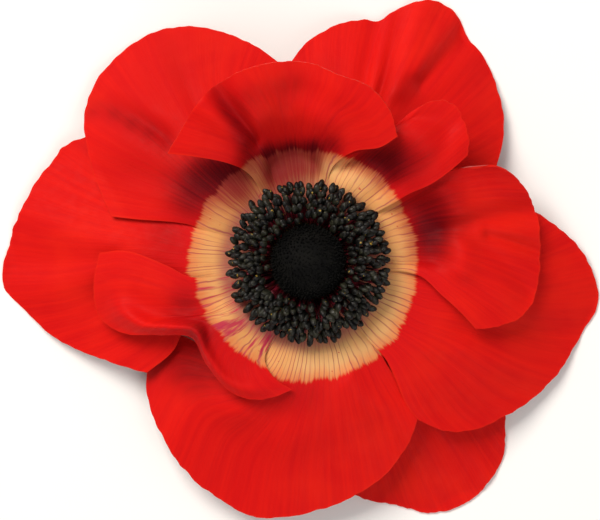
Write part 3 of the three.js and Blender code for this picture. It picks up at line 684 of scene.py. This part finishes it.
def head_velvet():
    net = Net("pistil_velvet")
    here = net.node("ShaderNodeTexCoord").outputs["Object"]
    cloud = net.noise(here, 420.0, 3.0, 0.6)
    speck = net.noise(here, 2600.0, 3.0, 0.65)
    dark = net.mix(net.step(cloud, 0.35, 0.7), (0.0014, 0.0013, 0.0014), (0.0045, 0.0043, 0.0036))
    dark = net.mix(net.step(speck, 0.58, 0.78, 0.0, 0.5), dark, (0.016, 0.019, 0.011))
    net.link(dark, net.shader.inputs["Base Color"])
    net.bump(speck, 0.0001, 0.8)
    net.shader.inputs["Roughness"].default_value = 0.78
    net.shader.inputs["Specular IOR Level"].default_value = 0.10
    return net.material


def stem_green():
    net = Net("stem_green")
    here = net.node("ShaderNodeTexCoord").outputs["Object"]
    streak = net.noise(net.stretch(here, (1100, 1100, 90)), 1.0, 3.0, 0.6)
    blotch = net.noise(here, 260.0, 3.0)
    green = net.mix(net.step(streak, 0.35, 0.65), (0.085, 0.16, 0.035), (0.21, 0.31, 0.085))
    green = net.mix(net.step(blotch, 0.48, 0.72, 0.0, 0.6), green, (0.22, 0.085, 0.055))
    net.link(green, net.shader.inputs["Base Color"])
    net.bump(streak, 0.0002, 0.7)
    net.shader.inputs["Roughness"].default_value = 0.48
    return net.material


def stem_cut():
    net = Net("stem_cut")
    here = net.node("ShaderNodeTexCoord").outputs["Object"]
    size = net.node("ShaderNodeVectorMath", operation="LENGTH")
    net.link(net.stretch(here, (1000, 1000, 0), (-AXIS_X, -AXIS_Y, 0)), size.inputs[0])
    cells = net.node("ShaderNodeTexVoronoi")
    net.link(here, cells.inputs["Vector"])
    cells.inputs["Scale"].default_value = 5200.0
    ring = net.step(size.outputs["Value"], 0.9, 1.25)
    flesh = net.mix(ring, (0.58, 0.62, 0.36), (0.26, 0.38, 0.12))
    flesh = net.mix(net.step(cells.outputs["Distance"], 0.0, 0.5, 0.35, 0.0), flesh,
                    (0.16, 0.24, 0.07))
    net.link(flesh, net.shader.inputs["Base Color"])
    net.bump(cells.outputs["Distance"], 0.0001, 0.6)
    net.shader.inputs["Roughness"].default_value = 0.35
    return net.material


def make_tepals():
    for order, (name, tepal) in enumerate(TEPALS.items()):
        blush = 0.9 if name == "tepal_inner_lower_left" else 0.10
        cream = CREAM_RADIUS + CREAM_REACH.get(name, 0.0)
        face = tepal_face(name + "_face", order * 3.7, VEINS[name], cream, blush)
        back = tepal_back(name + "_back", order * 5.1)
        make_tepal(name, tepal, order + 1, face, back, 0.5 if "inner" in name else 1.0,
                   SHADE_SPOTS.get(name, ()))


# ---------- stamens ----------
def stamen_pattern(anther, filament):
    """An anther to copy, with its long groove along +X and its flat side down."""
    fresh()
    bpy.ops.mesh.primitive_uv_sphere_add(segments=8, ring_count=5, radius=ANTHER_RADIUS * MM)
    pod = bpy.context.object
    pod.scale = (1.0, 1.0, ANTHER_STRETCH)
    pod.rotation_euler = (0, math.radians(90), 0)
    settle(pod)
    for vertex in pod.data.vertices:
        across = vertex.co.y / (ANTHER_RADIUS * MM)
        if vertex.co.z > 0:
            vertex.co.z *= 0.62 + 0.5 * min(1.0, abs(across) * 1.7)
        taper = 1.0 - 0.22 * (vertex.co.x / (0.79 * MM)) * (vertex.co.x > 0)
        vertex.co.y *= taper
        vertex.co.z *= 0.9
    pod.data.materials.append(anther)
    pod.data.materials.append(filament)
    pick(pod)
    bpy.ops.object.shade_smooth()
    pod.name = "anther_pattern"
    return pod


def make_stamen(name, pattern, azimuth, reach, height, pitch, yaw, roll, length, nodes):
    """A copied anther turned into place and joined to its own filament from the receptacle."""
    piece = bpy.data.objects.new(name, pattern.data.copy())
    bpy.context.collection.objects.link(piece)
    centre = Vector(place(azimuth, reach, height)) * MM
    turn = Matrix.Rotation(math.radians(azimuth + yaw), 4, "Z")
    tilt = Matrix.Rotation(-math.radians(pitch), 4, "Y")
    spin = Matrix.Rotation(math.radians(roll), 4, "X")
    standing = Matrix.Translation(centre) @ turn @ tilt @ spin
    piece.data.transform(standing @ Matrix.Diagonal((length, 1, 1, 1)))
    heel = standing @ Vector((-0.72 * MM * length, 0, 0))
    inward = (standing @ Vector((-1.9 * MM, 0, 0))) - centre
    root = Vector(place(azimuth, FILAMENT_ROOT_RADIUS, FILAMENT_ROOT_HEIGHT)) * MM
    bend = heel + inward * 0.45
    bend.z = max(bend.z, root.z)
    body = bmesh.new()
    body.from_mesh(piece.data)
    rings = []
    for k in range(FILAMENT_STEPS + 1):
        t = k / FILAMENT_STEPS
        point = root * (1 - t) ** 2 + bend * 2 * t * (1 - t) + heel * t * t
        ahead = ((bend - root) * (1 - t) + (heel - bend) * t).normalized()
        side = ahead.cross(Vector((0, 0, 1))).normalized()
        up = side.cross(ahead)
        girth = (FILAMENT_GIRTH if k < FILAMENT_STEPS else FILAMENT_TIP_GIRTH) * MM
        rings.append([body.verts.new(point + (side * math.cos(s) + up * math.sin(s)) * girth)
                      for s in (2 * math.pi * j / FILAMENT_SIDES for j in range(FILAMENT_SIDES))])
    for low, high in zip(rings, rings[1:]):
        for j in range(FILAMENT_SIDES):
            k = (j + 1) % FILAMENT_SIDES
            face = body.faces.new((low[j], low[k], high[k], high[j]))
            face.material_index = 1
            face.smooth = True
    for ring, order in ((rings[0], 1), (rings[-1], -1)):
        cap = body.faces.new(ring[::-order])
        cap.material_index = 1
    bmesh.ops.recalc_face_normals(body, faces=body.faces)
    body.to_mesh(piece.data)
    body.free()
    finish_piece(piece, "stamen_black", *nodes)
    return piece


def crown_spots():
    """Azimuth, radius, height, pitch, yaw, roll and length of each stamen, in a loose spiral."""
    dice = random.Random(20)
    spots = []
    for k in range(STAMENS):
        share = (k + 0.5) / STAMENS
        reach = math.sqrt(CROWN_INNER ** 2 * (1 - share) + CROWN_OUTER ** 2 * share)
        outward = (reach - CROWN_INNER) / (CROWN_OUTER - CROWN_INNER)
        if outward < 0.5 and dice.random() < 0.08:
            continue
        height = CROWN_TOP - (CROWN_TOP - CROWN_RIM) * outward ** 1.6
        azimuth = (k * GOLDEN_ANGLE + dice.uniform(-3.0, 3.0)) % 360
        spots.append([azimuth, reach + dice.uniform(-0.3, 0.3), height + dice.uniform(-0.4, 0.4),
                      60 - 62 * outward + dice.uniform(-18, 18), dice.uniform(-26, 26),
                      dice.uniform(-60, 60), dice.uniform(0.85, 1.15)])
    return spots


def matched_nodes(spots):
    """Each stamen of the plain model is stood for by the whole stamen nearest to it."""
    cad_stamens = sorted(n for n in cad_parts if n.startswith("stamen_"))
    stands_for = {}
    for index, node in enumerate(cad_stamens):
        reach = (7.4, 11.2, 9.4)[index % 3]
        x, y, _ = place(index * 360 / len(cad_stamens), reach, 0)
        free = [n for n in range(len(spots)) if n not in stands_for]
        nearest = min(free, key=lambda n: math.dist((x, y), place(spots[n][0], spots[n][1], 0)[:2]))
        stands_for[nearest] = node
    return stands_for


def make_crown():
    pattern = stamen_pattern(anther_skin(), filament_skin())
    spots = crown_spots()
    stands_for = matched_nodes(spots)
    for n, spot in enumerate(spots):
        nodes = [stands_for[n]] if n in stands_for else []
        make_stamen(f"stamen_{n + 1:03d}_whole", pattern, *spot, nodes)
    bpy.data.objects.remove(pattern)


# ---------- pistil head and stem ----------
def make_pistil_head():
    """A dome set with small blunt styles in a spiral, as a velvet pile."""
    fresh()
    bpy.ops.mesh.primitive_uv_sphere_add(segments=64, ring_count=40, radius=1.0)
    head = bpy.context.object
    head.name = "pistil_head_velvet"
    rise = HEAD_TOP - HEAD_FOOT
    middle = HEAD_FOOT + rise * 0.42
    for vertex in head.data.vertices:
        x, y, z = vertex.co
        z = max(z, -0.62)
        up = z * (HEAD_TOP - middle) if z > 0 else z * (middle - HEAD_FOOT) / 0.62
        vertex.co = Vector((AXIS_X + x * (HEAD_RADIUS - 0.35), AXIS_Y + y * (HEAD_RADIUS - 0.35),
                            middle + up - (0.3 if z > 0 else 0.0) * min(1, z * 4))) * MM
    head.data.materials.append(head_velvet())
    body = bmesh.new()
    body.from_mesh(head.data)
    bmesh.ops.remove_doubles(body, verts=body.verts, dist=1e-6)
    dice = random.Random(4)
    for k in range(STYLES):
        z = 1 - 1.42 * (k + 0.5) / STYLES
        ring = math.sqrt(max(0.0, 1 - z * z))
        turn = k * GOLDEN_TURN
        out = Vector((ring * math.cos(turn), ring * math.sin(turn), z))
        base = Vector((AXIS_X + out.x * (HEAD_RADIUS - 0.45), AXIS_Y + out.y * (HEAD_RADIUS - 0.45),
                       middle + out.z * (HEAD_TOP - middle - 0.45)))
        lean = Vector((dice.uniform(-0.9, 0.9), dice.uniform(-0.9, 0.9), 0.2))
        tip = base + (out + lean).normalized() * dice.uniform(0.25, 0.75)
        side = out.cross(Vector((0.3, 0.2, 0.9))).normalized()
        up = out.cross(side)
        rings = []
        for t, girth in ((0.0, 0.15), (0.55, 0.12), (0.9, 0.06)):
            centre = base.lerp(tip, t)
            rings.append([body.verts.new((centre + (side * math.cos(s) + up * math.sin(s)) * girth)
                                         * MM) for s in (2 * math.pi * j / STYLE_SIDES
                                                         for j in range(STYLE_SIDES))])
        for low, high in zip(rings, rings[1:]):
            for j in range(STYLE_SIDES):
                after = (j + 1) % STYLE_SIDES
                body.faces.new((low[j], low[after], high[after], high[j])).smooth = True
        point = body.verts.new(tip * MM)
        for j in range(STYLE_SIDES):
            body.faces.new((rings[-1][j], rings[-1][(j + 1) % STYLE_SIDES], point)).smooth = True
        body.faces.new(rings[0][::-1])
    bmesh.ops.recalc_face_normals(body, faces=body.faces)
    body.to_mesh(head.data)
    body.free()
    pick(head)
    bpy.ops.object.shade_smooth()
    finish_piece(head, "pistil_black", "pistil_head")


def make_stem():
    """Short cut stem that widens into the receptacle."""
    fresh()
    bpy.ops.mesh.primitive_circle_add(vertices=48, radius=STEM_CUT_RADIUS * MM, fill_type="NGON",
                                      location=(AXIS_X * MM, AXIS_Y * MM, STEM_CUT_HEIGHT * MM))
    stem = bpy.context.object
    stem.name = "stem_top"
    settle(stem)
    body = bmesh.new()
    body.from_mesh(stem.data)
    bottom = body.faces[:][0]
    bottom.material_index = 1
    loop = [v for v in bottom.verts]
    for radius, height in STEM_PROFILE:
        next_loop = []
        for vertex in loop:
            turn = math.atan2(vertex.co.y / MM - AXIS_Y, vertex.co.x / MM - AXIS_X)
            ridge = 1 + STEM_RIDGE_DEPTH * math.sin(turn * STEM_RIDGES) * (height < RIDGES_END)
            next_loop.append(body.verts.new(Vector((AXIS_X + radius * ridge * math.cos(turn),
                                                     AXIS_Y + radius * ridge * math.sin(turn),
                                                     height)) * MM))
        for j in range(len(loop)):
            k = (j + 1) % len(loop)
            body.faces.new((loop[j], loop[k], next_loop[k], next_loop[j])).smooth = True
        loop = next_loop
    body.faces.new(loop).smooth = True
    bmesh.ops.recalc_face_normals(body, faces=body.faces)
    body.to_mesh(stem.data)
    body.free()
    stem.data.materials.append(stem_green())
    stem.data.materials.append(stem_cut())
    pick(stem)
    bpy.ops.object.shade_smooth_by_angle(angle=math.radians(50))
    finish_piece(stem, "stem_green", "stem_and_receptacle")


# ---------- camera, light and floor ----------
def add_area(name, where, aim, size, power, colour):
    data = bpy.data.lights.new(name, "AREA")
    data.shape = "SQUARE"
    data.size = size
    data.energy = power
    data.color = colour
    lamp = bpy.data.objects.new(name, data)
    bpy.context.collection.objects.link(lamp)
    lamp.location = where
    lamp.rotation_euler = (Vector(aim) - Vector(where)).to_track_quat("-Z", "Y").to_euler()


def set_stage():
    camera = bpy.data.cameras.new("camera")
    camera.lens = 180.0
    camera.sensor_width = 36.0
    camera.clip_start = 0.01
    view = bpy.data.objects.new("camera", camera)
    bpy.context.collection.objects.link(view)
    view.location = (0.0, -0.0001, 0.45)
    view.rotation_euler = (0, 0, 0)
    bpy.context.scene.camera = view

    add_area("key", (-0.24, 0.33, 0.51), (0, 0, 0.01), 0.34, 4.05, (1.0, 0.93, 0.85))
    add_area("fill", (0.25, -0.38, 0.50), (0, 0, 0.01), 0.50, 1.4, (1.0, 0.96, 0.92))

    world = bpy.context.scene.world or bpy.data.worlds.new("studio")
    bpy.context.scene.world = world
    world.use_nodes = True
    world.node_tree.nodes["Background"].inputs[0].default_value = (1.0, 0.98, 0.96, 1.0)
    world.node_tree.nodes["Background"].inputs[1].default_value = 0.30

    fresh()
    bpy.ops.mesh.primitive_plane_add(size=4.0, location=(0, 0, 0))
    floor = bpy.context.object
    floor.name = "floor"
    net = Net("floor_white")
    net.shader.inputs["Base Color"].default_value = (0.97, 0.97, 0.97, 1)
    net.shader.inputs["Roughness"].default_value = 0.8
    floor.data.materials.append(net.material)
    bpy.context.scene.view_settings.view_transform = "Standard"


# ---------- the flower ----------
make_tepals()
make_crown()
make_pistil_head()
make_stem()
set_stage()
